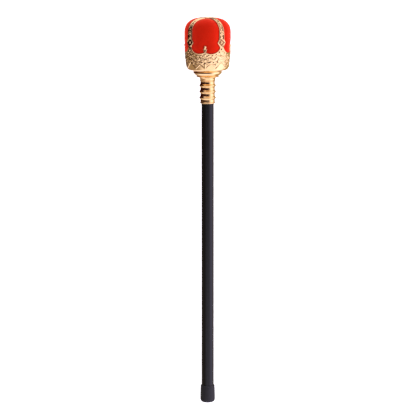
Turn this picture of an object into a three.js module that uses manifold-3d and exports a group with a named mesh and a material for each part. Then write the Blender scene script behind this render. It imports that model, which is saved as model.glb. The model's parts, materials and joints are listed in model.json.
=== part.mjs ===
// A costume sceptre: a gold moulded crown with a red flocked lining, a ribbed gold collar, a black
// shaft and a rubber tip. It is modelled upright, tip down and axis along +Z, then laid on its side.
import * as THREE from 'three';
import { mergeVertices } from 'three/addons/utils/BufferGeometryUtils.js';
import Module from 'manifold-3d';

const wasm = await Module();
wasm.setup();

// ---------------------------------------------------------------- driving dimensions
// Millimetres. A height is measured up the axis from the end of the tip.
const GAP = 0.3; // play between pieces that are pushed together
const AXIS = 0;

const SHAFT_RADIUS = 8.35;
const SHAFT_FOOT = 4.8;
const SHAFT_HEAD = 440;
const SOCKET_RADIUS = SHAFT_RADIUS + GAP;

const FERRULE_HEIGHT = 24;
const FERRULE_MOUTH_RADIUS = 9.6;
const FERRULE_RADIUS = 10.06;
const FERRULE_CORNER = 4.6; // radius of the rounded lower edge
const FERRULE_CREASE = { height: 21.6, depth: 0.35, half: 0.6 };

const COLLAR_FOOT = 413.4;
const COLLAR_RADIUS = 10.35;
const COVE_RADIUS = 9.75;
const LIP_HEIGHT = 2.4;
const RIB = { first: 421.4, pitch: 8.25, count: 3, radius: 11.3, crest: 0.5, foot: 2.4 };
const NECK = { height: 446.2, bead: 2, beadHalf: 0.6 };
const FLANGE = { foot: 449.2, lowerRadius: 14.2, widest: 450.3, radius: 15.5, top: 452.2, upperRadius: 14.1 };

const FOOT_DISC = { foot: 452.5, widest: 455.2, top: 457.4, lowerRadius: 17.6, radius: 19.4 };
const BOWL_FOOT = 458.7;
const BOWL_CORNER = { radius: 22.2, height: 461.6 }; // where the underside turns up into the band
const BAND_RADIUS = 27.7; // the band's lower edge
const BAND_TOP = 484;
const HEAD_RADIUS = 30.2; // the arches' ground, up to the shoulder
const SHOULDER = 508; // where the arches start to bend inwards
const DOME_HEIGHT = 21.1;
const DOME_POWER = 2.65; // the dome is a superellipse of this power
const WALL = 1.6; // thickness of the gold moulding
const CAVITY_FLOOR = 470;
const HEART = 492; // windows are cut square to rays from this height on the axis

const BAND_LIFT = 0.55; // the filigree band stands this far above the ground
const RIM_LIFT = 0.75; // and the rims of the windows this far
const RIM_WIDTH = 1.1;
const ARCHES = 4;
const HEAD_TURN = THREE.MathUtils.degToRad(-6.5); // turn of the head round its axis

// Half of one window, from its middle to an arch: mm along the band, and heights.
const LOBE = { middle: 8.6, height: 492.6, reach: 12, drop: 9.3 };
const PEARL = { height: 492.2, radius: 2 };
const STEM = { half: 2.6, height: 489.3 }; // the fan that carries the pearl, at its widest
const ARCH = { waist: 3.2, waistHeight: 491.5, half: 4.2, full: 495, topHalf: 2.7 };
const DIAMOND = { height: 498, half: 6.8, rise: 5 };
const HUB_RADIUS = 7; // where the arches meet on top

// Beads of the relief. A rosette, a leaf between two pearls, the diamond's stone, a boss, a
// cabochon and two drops climb each arch, and pearls follow the lower edge of each window.
const ROSETTE = { height: 480.4, radius: 2.5 };
const LEAF = { height: 487.2, radius: 1.7, stretch: 1.5 };
const SIDE_PEARL = { height: 485.6, radius: 1.2, aside: 7 }; // aside in degrees
const STONE = { height: DIAMOND.height, radius: 1.7 };
const BOSS = { height: 504.6, radius: 2.2 };
const CABOCHON = { height: 510.3, radius: 2.6 };
const DROPS = [{ height: 515.2, radius: 1.5 }, { height: 520.6, radius: 1.4, stretch: 1.6 }];
const HUB_BOSS = { radius: 3.4, sunk: 2.6 };
const LOBE_PEARL = { radius: 1.15, away: 2.8, turns: [-110, -65] }; // turns round the lobe, degrees

const ZIGZAG = { foot: 459.5, small: 13.9, smallPeak: 467.6, large: 17.3, largePeak: 471.6 };

const PUFF_LIFT = 1.1; // the lining stands above the gold ground in the middle of a window
const PUFF_DIP = -1.3; // and below it behind an arch

// Where the sceptre touches the surface that it lies on: height and remaining radius there.
const HEAD_REST = { height: 480, radius: 30.5 };
const TIP_REST = { height: 7, radius: FERRULE_RADIUS - 0.3 };

const HEAD_FACETS = 48;
const CAVITY_FACETS = 24;
const STICK_FACETS = 30;
const FINENESS = 0.02; // corners closer to a straight edge or flat face than this are left out

const quarter = Math.PI / 2;
const degrees = THREE.MathUtils.degToRad;

// ---------------------------------------------------------------- solids
// A closed three.js geometry as a solid: shared corners merged, faces of no area left out.
function solid(geometry) {
  const bare = geometry.clone();
  bare.deleteAttribute('normal');
  bare.deleteAttribute('uv');
  const merged = mergeVertices(bare, 1e-4);
  const corners = merged.index.array;
  const triVerts = [];
  for (let i = 0; i < corners.length; i += 3) {
    const [a, b, c] = corners.slice(i, i + 3);
    if (a !== b && b !== c && c !== a) triVerts.push(a, b, c);
  }
  return new wasm.Manifold(new wasm.Mesh({
    numProp: 3,
    vertProperties: new Float32Array(merged.attributes.position.array),
    triVerts: new Uint32Array(triVerts),
  }));
}

function geometryOf(shape) {
  const mesh = shape.getMesh();
  const geometry = new THREE.BufferGeometry();
  geometry.setAttribute('position', new THREE.BufferAttribute(mesh.vertProperties, 3));
  geometry.setIndex(new THREE.BufferAttribute(mesh.triVerts, 1));
  const faceted = geometry.toNonIndexed();
  faceted.computeVertexNormals();
  return faceted;
}

// A body turned round the axis from [radius, height] pairs that start and end on the axis.
function turned(profile, facets) {
  const points = profile.map(([radius, height]) => new THREE.Vector2(radius, height));
  return solid(new THREE.LatheGeometry(points, facets).rotateX(quarter));
}

function union(shapes) {
  return shapes.reduce((whole, shape) => whole.add(shape));
}

// The same shape once for each arch, turned round the axis.
function around(shape) {
  return union(Array.from({ length: ARCHES }, (_, i) => shape.rotate([0, 0, i * 360 / ARCHES])));
}

// ---------------------------------------------------------------- the head's surface
// The dome's quarter curve, lifted off the ground: [radius, height] from the shoulder to the top.
class Dome extends THREE.Curve {
  constructor(lift = 0) {
    super();
    this.lift = lift;
  }

  getPoint(t, target = new THREE.Vector3()) {
    const angle = t * quarter;
    const radius = (HEAD_RADIUS + this.lift) * Math.cos(angle) ** (2 / DOME_POWER);
    const rise = (DOME_HEIGHT + this.lift) * Math.sin(angle) ** (2 / DOME_POWER);
    return target.set(t < 1 ? radius : 0, SHOULDER + rise, 0);
  }
}

const domeLength = new Dome().getLength();
const HEAD_TOP = SHOULDER + domeLength; // measured along the dome

// [radius, height] of the head's outside. Above the shoulder, way runs along the dome.
function headPoint(way, lift = 0) {
  if (way > SHOULDER) {
    const share = Math.min((way - SHOULDER) / domeLength, 1);
    const point = new Dome(lift).getPointAt(share);
    return [point.x, point.y];
  }
  const up = (way - BOWL_CORNER.height) / (BAND_TOP - BOWL_CORNER.height);
  const radius = THREE.MathUtils.lerp(BAND_RADIUS, HEAD_RADIUS, THREE.MathUtils.clamp(up, 0, 1));
  return [radius + lift, way];
}

// The point on the head at an angle from the middle of a window, as seen from outside.
function onHead(angle, way, lift = 0) {
  const [radius, height] = headPoint(way, lift);
  return new THREE.Vector3(radius * Math.sin(angle), -radius * Math.cos(angle), height);
}

// Heights at which the head's profile has a corner, from the band's foot to the top.
function headProfile(from, to, lift, steps = 7) {
  const ways = [from];
  for (const way of [BAND_TOP, SHOULDER]) if (way > from && way < to) ways.push(way);
  for (let i = 1; i <= steps; i++) {
    const way = SHOULDER + domeLength * i / steps;
    if (way <= to) ways.push(way);
  }
  return ways.map((way) => headPoint(way, lift));
}

// Cuts through the head inside an outline of [angle, way] corners, along rays from the heart.
function throughHead(outline, near = 0.6, far = 3) {
  const heart = new THREE.Vector3(0, 0, HEART);
  const corners = outline.map(([angle, way]) => onHead(angle, way));
  const rings = [near, far].map((scale) => corners.map((p) => p.clone().sub(heart)
    .multiplyScalar(scale).add(heart)));
  const flat = outline.map(([angle, way]) => new THREE.Vector2(angle * HEAD_RADIUS, way));
  const count = corners.length;
  const index = [];
  for (const [a, b, c] of THREE.ShapeUtils.triangulateShape(flat, [])) {
    index.push(a, c, b, a + count, b + count, c + count);
  }
  for (let i = 0; i < count; i++) {
    const j = (i + 1) % count;
    index.push(i, j, j + count, i, j + count, i + count);
  }
  const geometry = new THREE.BufferGeometry().setFromPoints(rings.flat());
  geometry.setIndex(index);
  return solid(geometry);
}

// A small geometry set on the head: its x along the band, y up the arch and z outwards.
function placed(geometry, angle, way, lift = 0) {
  const step = 0.5;
  const at = onHead(angle, way, lift);
  const up = onHead(angle, way + step, lift).sub(onHead(angle, way - step, lift)).normalize();
  const along = new THREE.Vector3(Math.cos(angle), Math.sin(angle), 0);
  const out = along.clone().cross(up);
  const frame = new THREE.Matrix4().makeBasis(along, up, out).setPosition(at);
  return solid(geometry.applyMatrix4(frame));
}

function bead({ radius, height, stretch = 1 }, angle, lift = 0) {
  const ball = new THREE.SphereGeometry(radius, 6, 3).rotateX(quarter).scale(1, stretch, 1);
  return placed(ball, angle, height, lift);
}

// ---------------------------------------------------------------- window outline
// Half the width of an arch at a height: narrow at the waist, a diamond above it, then a taper.
function archHalf(way) {
  const { waist, waistHeight, half, full, topHalf } = ARCH;
  const low = THREE.MathUtils.clamp(way, waistHeight, full);
  const strip = way < SHOULDER
    ? THREE.MathUtils.mapLinear(low, waistHeight, full, waist, half)
    : THREE.MathUtils.mapLinear(way, SHOULDER, HEAD_TOP - HUB_RADIUS, half, topHalf);
  const diamond = DIAMOND.half * (1 - Math.abs(way - DIAMOND.height) / (2 * DIAMOND.rise));
  const inDiamond = Math.abs(way - DIAMOND.height) < DIAMOND.rise;
  return inDiamond ? Math.max(strip, diamond) : strip;
}

// The right half of a window's outline, from the top of its pearl to the hub. A positive inset
// makes the window smaller all round.
function halfOutline(inset) {
  const points = [];
  const add = (x, way) => points.push([x / HEAD_RADIUS, way]);
  const pearl = PEARL.radius + inset;
  for (const turn of [90, 30, -30]) {
    add(pearl * Math.cos(degrees(turn)), PEARL.height + pearl * Math.sin(degrees(turn)));
  }
  add(STEM.half + inset, STEM.height + inset / 2);
  const reach = LOBE.reach - inset;
  const drop = LOBE.drop - inset;
  for (const turn of [-128, -100, -75, -50, -25, -5]) {
    add(LOBE.middle + reach * Math.cos(degrees(turn)), LOBE.height + drop * Math.sin(degrees(turn)));
  }
  const ways = [ARCH.waistHeight + 2, DIAMOND.height - DIAMOND.rise / 2, DIAMOND.height];
  ways.push(DIAMOND.height + DIAMOND.rise / 2, DIAMOND.height + DIAMOND.rise, SHOULDER);
  const last = HEAD_TOP - HUB_RADIUS - inset;
  const steps = 5;
  for (let i = 1; i <= steps; i++) ways.push(THREE.MathUtils.lerp(SHOULDER, last, i / steps));
  for (const way of ways) {
    const radius = headPoint(way)[0];
    const share = Math.min((archHalf(way) + inset) / radius, Math.SQRT1_2);
    points.push([Math.PI / ARCHES - Math.asin(share), way]);
  }
  return points;
}

function windowOutline(inset) {
  const right = halfOutline(inset);
  const left = right.slice(1).reverse().map(([angle, way]) => [-angle, way]);
  return [...right, ...left];
}

function windows(inset) {
  return around(throughHead(windowOutline(inset)));
}

// ---------------------------------------------------------------- crown
function outerBody(lift, from, to) {
  const sides = headProfile(from, to, lift);
  const [, lowest] = sides[0];
  const [topRadius, highest] = sides[sides.length - 1];
  const lid = topRadius > 0 ? [[AXIS, highest]] : [];
  return turned([[AXIS, lowest], ...sides, ...lid], HEAD_FACETS);
}

function cavity(play) {
  const sides = headProfile(CAVITY_FLOOR + play, HEAD_TOP, -WALL - play, 5);
  return turned([[AXIS, CAVITY_FLOOR + play], ...sides], CAVITY_FACETS);
}

// Foot disc, underside of the bowl and the bowl itself up to the band's foot.
function bowl() {
  const { foot, widest, top, lowerRadius, radius } = FOOT_DISC;
  const rise = BOWL_CORNER.height - BOWL_FOOT;
  const edge = 0.7;
  const profile = [[AXIS, foot], [lowerRadius, foot], [radius, widest], [radius, top - edge]];
  profile.push([radius - edge, top], [radius - edge, BOWL_FOOT], [BOWL_CORNER.radius, BOWL_FOOT]);
  const steps = 3;
  for (let i = 1; i <= steps; i++) {
    const turn = quarter * i / steps;
    const out = BAND_RADIUS - BOWL_CORNER.radius;
    profile.push([BOWL_CORNER.radius + out * Math.sin(turn), BOWL_FOOT + rise * (1 - Math.cos(turn))]);
  }
  profile.push([AXIS, BOWL_CORNER.height]);
  return turned(profile, HEAD_FACETS);
}

// A smooth triangle that interrupts the band's lower edge, centred at an angle.
function notch(angle, half, peak) {
  const foot = ZIGZAG.foot;
  return throughHead([[angle - half, foot], [angle + half, foot], [angle, peak]], 0.8, 1.3);
}

function zigzag() {
  const { small, smallPeak, large, largePeak } = ZIGZAG;
  const play = degrees(1.5); // half the width that the band keeps between two triangles
  const smallHalf = degrees(small) - play;
  const pair = [-1, 1].map((side) => notch(side * degrees(small), smallHalf, smallPeak));
  return around(union([...pair, notch(degrees(45), degrees(large) - play, largePeak)]));
}

// Beads up one arch, from the foot to the dome.
function archBeads(angle) {
  const aside = degrees(SIDE_PEARL.aside);
  const sides = [-aside, aside].map((off) => bead(SIDE_PEARL, angle + off));
  return [...sides, ...[ROSETTE, LEAF, STONE, BOSS, CABOCHON, ...DROPS].map((shape) => bead(shape, angle))];
}

// A row of pearls below each lobe of a window.
function lobeBeads(side) {
  const { radius, away, turns } = LOBE_PEARL;
  return turns.map((turn) => {
    const x = LOBE.middle + (LOBE.reach + away) * Math.cos(degrees(turn));
    const height = LOBE.height + (LOBE.drop + away) * Math.sin(degrees(turn));
    return bead({ radius, height }, side * x / HEAD_RADIUS, BAND_LIFT);
  });
}

function makeCrown() {
  const ground = bowl().add(outerBody(0, BOWL_CORNER.height - 0.01, HEAD_TOP));
  const band = outerBody(BAND_LIFT, BOWL_CORNER.height - 0.6, ARCH.waistHeight);
  const filigree = band.subtract(zigzag());
  const rims = outerBody(RIM_LIFT, BAND_TOP - 4, HEAD_TOP).intersect(windows(-RIM_WIDTH));
  const hub = bead({ radius: HUB_BOSS.radius, height: HEAD_TOP }, 0, -HUB_BOSS.sunk);
  const trim = [...archBeads(Math.PI / ARCHES), ...lobeBeads(1), ...lobeBeads(-1)];
  const pearl = bead(PEARL, 0);
  const dressed = union([ground, filigree, rims, around(union(trim)), hub]);
  const open = dressed.subtract(windows(0)).add(around(pearl)).subtract(cavity(0));
  return open.asOriginal().simplify(FINENESS);
}

// ---------------------------------------------------------------- lining
// The lining's pillowy outside: highest in the middle of each window, drawn in behind each arch.
function puffs() {
  const columns = 32;
  const ways = [CAVITY_FLOOR, BAND_TOP, 496, SHOULDER];
  const steps = 6;
  for (let i = 1; i < steps; i++) ways.push(SHOULDER + domeLength * i / steps);
  const points = [new THREE.Vector3(0, 0, CAVITY_FLOOR)];
  for (const way of ways) {
    const near = Math.min(headPoint(way)[0] / HEAD_RADIUS * 2, 1);
    for (let i = 0; i < columns; i++) {
      const angle = i / columns * 2 * Math.PI;
      const swell = Math.abs(Math.cos(angle * ARCHES / 2)) ** 0.7;
      points.push(onHead(angle, way, THREE.MathUtils.lerp(PUFF_DIP, PUFF_LIFT * near, swell)));
    }
  }
  points.push(new THREE.Vector3(0, 0, headPoint(HEAD_TOP, PUFF_DIP)[1]));
  const last = points.length - 1;
  const index = [];
  for (let i = 0; i < columns; i++) {
    const j = (i + 1) % columns;
    index.push(0, 1 + j, 1 + i);
    for (let row = 0; row < ways.length - 1; row++) {
      const [a, b] = [1 + row * columns + i, 1 + row * columns + j];
      index.push(a, b, b + columns, a, b + columns, a + columns);
    }
    index.push(last - columns + i, last - columns + j, last);
  }
  const geometry = new THREE.BufferGeometry().setFromPoints(points);
  geometry.setIndex(index);
  return solid(geometry);
}

function makeLining() {
  const room = cavity(GAP).add(windows(GAP));
  return puffs().intersect(room).asOriginal().simplify(FINENESS);
}

// ---------------------------------------------------------------- collar, shaft and tip
// Socket for the shaft, end lip, ribs between flat coves, a beaded neck and the flange.
function makeCollar() {
  const edge = 0.4;
  const profile = [[AXIS, SHAFT_HEAD + GAP], [SOCKET_RADIUS, SHAFT_HEAD + GAP]];
  profile.push([SOCKET_RADIUS, COLLAR_FOOT], [COLLAR_RADIUS - edge, COLLAR_FOOT]);
  profile.push([COLLAR_RADIUS, COLLAR_FOOT + edge], [COLLAR_RADIUS, COLLAR_FOOT + LIP_HEIGHT - edge]);
  profile.push([COVE_RADIUS, COLLAR_FOOT + LIP_HEIGHT]);
  for (let i = 0; i < RIB.count; i++) {
    const middle = RIB.first + i * RIB.pitch;
    profile.push([COVE_RADIUS, middle - RIB.foot], [RIB.radius, middle - RIB.crest]);
    profile.push([RIB.radius, middle + RIB.crest], [COVE_RADIUS, middle + RIB.foot]);
  }
  const bead = NECK.height - NECK.bead;
  profile.push([COVE_RADIUS, bead - NECK.beadHalf], [COLLAR_RADIUS, bead]);
  profile.push([COVE_RADIUS + edge, bead + NECK.beadHalf]);
  profile.push([COLLAR_RADIUS, NECK.height], [COLLAR_RADIUS + 1.6, NECK.height + 1.8]);
  profile.push([FLANGE.lowerRadius, FLANGE.foot], [FLANGE.radius, FLANGE.widest]);
  profile.push([FLANGE.upperRadius, FLANGE.top], [AXIS, FLANGE.top]);
  return turned(profile, STICK_FACETS);
}

function makeShaft() {
  const side = [[SHAFT_RADIUS, SHAFT_FOOT], [SHAFT_RADIUS, SHAFT_HEAD]];
  return turned([[AXIS, SHAFT_FOOT], ...side, [AXIS, SHAFT_HEAD]], STICK_FACETS);
}

function makeFerrule() {
  const sole = FERRULE_RADIUS - FERRULE_CORNER;
  const profile = [[AXIS, 0]];
  const steps = 5;
  for (let i = 0; i <= steps; i++) {
    const turn = quarter * i / steps;
    profile.push([sole + FERRULE_CORNER * Math.sin(turn), FERRULE_CORNER * (1 - Math.cos(turn))]);
  }
  const { height, depth, half } = FERRULE_CREASE;
  profile.push([FERRULE_RADIUS, TIP_REST.height + 2]);
  profile.push([FERRULE_MOUTH_RADIUS, height - half], [FERRULE_MOUTH_RADIUS - depth, height]);
  profile.push([FERRULE_MOUTH_RADIUS, height + half], [FERRULE_MOUTH_RADIUS, FERRULE_HEIGHT - 0.6]);
  profile.push([FERRULE_MOUTH_RADIUS - 0.5, FERRULE_HEIGHT], [SOCKET_RADIUS, FERRULE_HEIGHT]);
  profile.push([SOCKET_RADIUS, SHAFT_FOOT - GAP], [AXIS, SHAFT_FOOT - GAP]);
  return turned(profile, STICK_FACETS);
}

// ---------------------------------------------------------------- lying down
// Slope of the axis once the head and the tip both rest on a level surface.
const lie = Math.atan2(HEAD_REST.radius - TIP_REST.radius, HEAD_REST.height - TIP_REST.height);
const axisHeight = TIP_REST.radius * Math.cos(lie) - TIP_REST.height * Math.sin(lie);

const sceptre = new THREE.Group();
sceptre.rotation.x = lie - quarter;
sceptre.position.z = axisHeight;
sceptre.updateMatrixWorld(true);

// Everything below that surface, in the upright sceptre's own frame.
function floorBlock() {
  const thickness = 40;
  const block = new THREE.BoxGeometry(200, 1400, thickness).translate(0, 0, -thickness / 2);
  return solid(block.applyMatrix4(sceptre.matrixWorld.clone().invert()));
}

function addPiece(name, shape, finish) {
  const mesh = new THREE.Mesh(geometryOf(shape), new THREE.MeshStandardMaterial(finish));
  mesh.name = name;
  sceptre.add(mesh);
}

const floor = floorBlock();
const headTurn = [0, 0, THREE.MathUtils.radToDeg(HEAD_TURN)];
const gold = { color: 0xe2b55a, metalness: 1, roughness: 0.18 };
addPiece('crown', makeCrown().rotate(headTurn).subtract(floor), gold);
addPiece('red_cap', makeLining().rotate(headTurn).subtract(floor),
  { color: 0xd42402, metalness: 0, roughness: 0.95 });
addPiece('ribbed_collar', makeCollar(), gold);
addPiece('shaft', makeShaft(), { color: 0x1c1c1f, metalness: 0, roughness: 0.45 });
addPiece('ferrule', makeFerrule().subtract(floor), { color: 0x2b2b2e, metalness: 0, roughness: 0.8 });

// The frame's origin is under the middle of the lying sceptre.
const reach = new THREE.Box3().setFromObject(sceptre, true);
sceptre.position.y -= (reach.min.y + reach.max.y) / 2;

export default sceptre;
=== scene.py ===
from collections import namedtuple
import json
import math

import bpy
import numpy as np
from mathutils import Matrix


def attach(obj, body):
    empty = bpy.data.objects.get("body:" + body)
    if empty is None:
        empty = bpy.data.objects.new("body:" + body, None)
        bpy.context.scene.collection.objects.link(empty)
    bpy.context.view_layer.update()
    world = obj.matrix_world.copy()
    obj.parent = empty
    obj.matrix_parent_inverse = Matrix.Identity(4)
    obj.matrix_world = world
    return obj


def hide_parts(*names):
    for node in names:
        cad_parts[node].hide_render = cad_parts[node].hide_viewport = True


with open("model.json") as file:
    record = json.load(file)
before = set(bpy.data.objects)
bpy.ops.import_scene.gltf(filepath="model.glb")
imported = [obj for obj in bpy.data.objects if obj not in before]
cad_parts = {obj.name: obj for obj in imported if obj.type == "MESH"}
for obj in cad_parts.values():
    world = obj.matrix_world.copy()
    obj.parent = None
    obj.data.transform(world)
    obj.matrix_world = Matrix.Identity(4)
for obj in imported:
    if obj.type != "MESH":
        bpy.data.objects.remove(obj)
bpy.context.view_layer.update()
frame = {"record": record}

# The looks of a costume sceptre that lies on a pale floor. Lengths along and round the sceptre are
# millimetres, measured up its axis from the end of the tip, and points in the row frame are metres.
MM = 0.001

# ------------------------------------------------------------------ the sceptre's own frame
tip_end = next(m for m in frame["record"]["mounts"] if m["name"] == "tip_end")
TIP = np.array(tip_end["pos_m"])
AXIS = -np.array(tip_end["axis"]) / np.linalg.norm(tip_end["axis"])
RIGHT = np.array([1.0, 0.0, 0.0])
OUT = np.cross(RIGHT, AXIS)  # away from the floor, square to the axis


def in_row(angle, radius, height):
    """Points at an angle round the axis (0 is up, positive towards +X), kept above the floor."""
    angle, radius, height = np.broadcast_arrays(angle, radius, height)
    spoke = np.sin(angle)[..., None] * RIGHT + np.cos(angle)[..., None] * OUT
    points = TIP + MM * (radius[..., None] * spoke + height[..., None] * AXIS)
    points[..., 2] = np.maximum(points[..., 2], 0.0)
    return points.reshape(-1, 3)


# ------------------------------------------------------------------ driving dimensions, mm
SHAFT_RADIUS = 8.35
SHAFT_FOOT = 4.8
SHAFT_HEAD = 440.0
SOCKET_RADIUS = SHAFT_RADIUS + 0.3

FERRULE_HEIGHT = 24.0
FERRULE_MOUTH_RADIUS = 9.6
FERRULE_RADIUS = 10.06
FERRULE_CORNER = 4.6
FERRULE_CREASE = 21.6
FERRULE_TAPER = ((9.0, 0.03), (12.0, 0.14), (17.0, 0.32))  # height, and how far the side draws in
FERRULE_LIP_ROUND = 0.75

COLLAR_FOOT = 413.4
COLLAR_RADIUS = 10.35
COVE_RADIUS = 9.75
FIRST_COVE = (2.7, 4.6)  # from the collar's foot
NECK_BEAD_HALF, NECK_BEAD_DROP, NECK_BEAD_INSET = 0.6, 1.9, 0.45
RIB_FIRST, RIB_PITCH, RIB_COUNT, RIB_RADIUS = 421.4, 8.25, 3, 11.3
RIB_HALF = 2.6  # half the width of a rib's foot, between two flat coves
NECK_HEIGHT = 446.2
FLANGE_WIDEST, FLANGE_TOP, FLANGE_RADIUS = 450.3, 452.2, 15.5

DISC_FOOT, DISC_WIDEST, DISC_TOP = 452.5, 455.2, 457.5
DISC_LOWER_RADIUS, DISC_RADIUS = 17.6, 19.4
BOWL_FOOT = 458.7
BOWL_CORNER_RADIUS, BAND_FOOT = 22.2, 461.6
BAND_RADIUS = 27.7
BAND_TOP = 484.0
HEAD_RADIUS = 30.2
SHOULDER = 508.0
DOME_HEIGHT = 21.1
DOME_POWER = 2.65
WALL = 1.6
GAP = 0.3
CAVITY_FLOOR = 470.0

ARCHES = 4
HALF_BAY = math.pi / ARCHES  # from the middle of a window to the middle of an arch
HEAD_TURN = math.radians(-6.5)

LOBE_MIDDLE, LOBE_HEIGHT, LOBE_REACH, LOBE_DROP = 8.6, 492.6, 12.0, 9.3
PEARL_HEIGHT, PEARL_RADIUS = 492.2, 2.0
STEM_FOOT, STEM_FAN, STEM_NECK = (485.4, 1.0), (489.3, 2.6), (490.4, 1.3)  # height, half width
STEM_ROOT_HALF, STEM_INTO_PEARL = 0.6, 0.4
WAIST_HEIGHT, WAIST_HALF = 491.5, 3.2
ARCH_FULL, ARCH_HALF, ARCH_TOP_HALF = 495.0, 4.2, 2.7
DIAMOND_HEIGHT, DIAMOND_HALF, DIAMOND_RISE = 498.0, 6.8, 5.0
HUB_RADIUS = 7.0

BAND_LIFT = 0.55
RIM_LIFT = 1.0
RIM_HALF = 0.7
ZIGZAG_FOOT = 461.9
SMALL_HALF, SMALL_PEAK = math.radians(13.9), 468.3
LARGE_PEAK = 470.5

PUFF_LIFT, PUFF_SINK = 1.1, 0.35  # in the middle of a window, and along its edge
PUFF_REACH, PUFF_FULLNESS = 9.0, 0.6
FAR_OUTSIDE = -9.0

STICK_COLUMNS = 128
CROWN_COLUMNS = 424
CAP_COLUMNS = 320


# ------------------------------------------------------------------ small shapes for reliefs
def dome(q):
    """A round hump: 1 in the middle, 0 from q = 1 outwards."""
    return np.sqrt(np.clip(1 - q * q, 0, 1))


def smooth(low, high, x):
    t = np.clip((x - low) / (high - low), 0, 1)
    return t * t * (3 - 2 * t)


def arc(centre, radius, start, end, steps):
    """Points of an arc in the profile plane, from one direction in degrees to another."""
    turns = np.radians(np.linspace(start, end, steps + 1))
    return [(centre[0] + radius * math.cos(t), centre[1] + radius * math.sin(t)) for t in turns]


# ------------------------------------------------------------------ the head's surface
dome_turn = np.linspace(0, math.pi / 2, 4001)
dome_radius = HEAD_RADIUS * np.cos(dome_turn) ** (2 / DOME_POWER)
dome_rise = DOME_HEIGHT * np.sin(dome_turn) ** (2 / DOME_POWER)
dome_steps = np.hypot(np.diff(dome_radius), np.diff(dome_rise))
dome_way = SHOULDER + np.concatenate([[0], np.cumsum(dome_steps)])
HEAD_TOP = dome_way[-1]  # measured along the dome


def head_point(way, lift=0.0):
    """Radius and height of the head's surface. Above the shoulder, way runs along the dome."""
    up = np.clip((way - BAND_FOOT) / (BAND_TOP - BAND_FOOT), 0, 1)
    radius = BAND_RADIUS + (HEAD_RADIUS - BAND_RADIUS) * up + lift
    turn = np.interp(way, dome_way, dome_turn)
    over = way > SHOULDER
    bent = (HEAD_RADIUS + lift) * np.clip(np.cos(turn), 0, 1) ** (2 / DOME_POWER)
    rise = (DOME_HEIGHT + lift) * np.sin(turn) ** (2 / DOME_POWER)
    return np.where(over, bent, radius), np.where(over, SHOULDER + rise, way)


def bay(angle):
    """The angle from the nearest window's middle, without its sign: 0 to HALF_BAY."""
    folded = (angle + HALF_BAY) % (2 * HALF_BAY) - HALF_BAY
    return np.abs(folded)


def arch_half(way):
    """Half the width of an arch: narrow at the waist, a diamond above it, then a taper."""
    lower = WAIST_HALF + (ARCH_HALF - WAIST_HALF) * smooth(WAIST_HEIGHT, ARCH_FULL, way)
    up = np.clip((way - SHOULDER) / (HEAD_TOP - HUB_RADIUS - SHOULDER), 0, 1)
    strip = np.where(way < SHOULDER, lower, ARCH_HALF + (ARCH_TOP_HALF - ARCH_HALF) * up)
    off = np.abs(way - DIAMOND_HEIGHT)
    diamond = np.where(off < DIAMOND_RISE, DIAMOND_HALF * (1 - off / (2 * DIAMOND_RISE)), 0)
    return np.maximum(strip, diamond)


def finial(x, way):
    """Distance inside the pearl on its fan-shaped stem, in the middle of a window's lower edge."""
    pearl = PEARL_RADIUS - np.hypot(x, way - PEARL_HEIGHT)
    heights, halves = zip((BAND_FOOT, STEM_ROOT_HALF), STEM_FOOT, STEM_FAN, STEM_NECK)
    stem = np.interp(way, heights, halves) - x
    return np.maximum(pearl, np.where(way < STEM_NECK[0] + STEM_INTO_PEARL, stem, FAR_OUTSIDE))


def in_window(angle, way):
    """Distance in mm inside the nearest window, below zero on the gold."""
    off = bay(angle)
    radius = head_point(way)[0]
    x = off * radius
    window = radius * np.sin(HALF_BAY - off) - arch_half(way)
    down = np.minimum(way - LOBE_HEIGHT, 0)
    across = x - LOBE_MIDDLE
    q = np.hypot(across / LOBE_REACH, down / LOBE_DROP)
    slope = np.hypot(across / LOBE_REACH ** 2, down / LOBE_DROP ** 2)
    lobe = (1 - q) * q / np.maximum(slope, 1e-3)
    window = np.where(way < LOBE_HEIGHT, np.minimum(window, lobe), window)
    window = np.minimum(window, -finial(x, way))
    hub = HEAD_TOP - way - HUB_RADIUS
    soft = np.clip(0.5 + (window - hub) / 4, 0, 1)
    return window + (hub - window) * soft - 2 * soft * (1 - soft)


# ------------------------------------------------------------------ the crown's relief
ZIGZAG_SQUARE = 0.72  # both slopes lie near 44 degrees, so this turns a rise into a distance
RIDGE_MIDDLE, RIDGE_HALF, RIDGE_LIFT = 0.5, 0.5, 0.45  # above the zigzag line
GROOVE_MIDDLE, GROOVE_HALF, GROOVE_DEPTH = -0.35, 0.4, 0.3

GRAIN_PITCH, GRAIN_ROW = 2.3, 0.87  # the rows' distance is a share of the pitch
GRAIN_RADIUS, GRAIN_LIFT, GRAIN_SINK = 1.0, 0.6, 0.35
SCROLL_TURNS, SCROLL_CLOSE, SCROLL_STEPS = 1.35, 0.78, 44
WIRE_HALF, WIRE_LIFT = 0.65, 0.7
RING_HALF, RING_LIFT = 0.5, 0.6
DOT_RADIUS, DOT_DEPTH = 0.85, 0.9
DOT_RIM_RADIUS, DOT_RIM_HALF, DOT_RIM_LIFT = 1.15, 0.5, 0.35
LEAF_OFF, LEAF_LENGTH, LEAF_WIDTH, LEAF_LIFT = 2.9, 1.75, 0.9, 0.75
LEAF_FIRST, LEAF_STEP, LEAF_COUNT = -124, 21, 5  # degrees round the lobe

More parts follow.
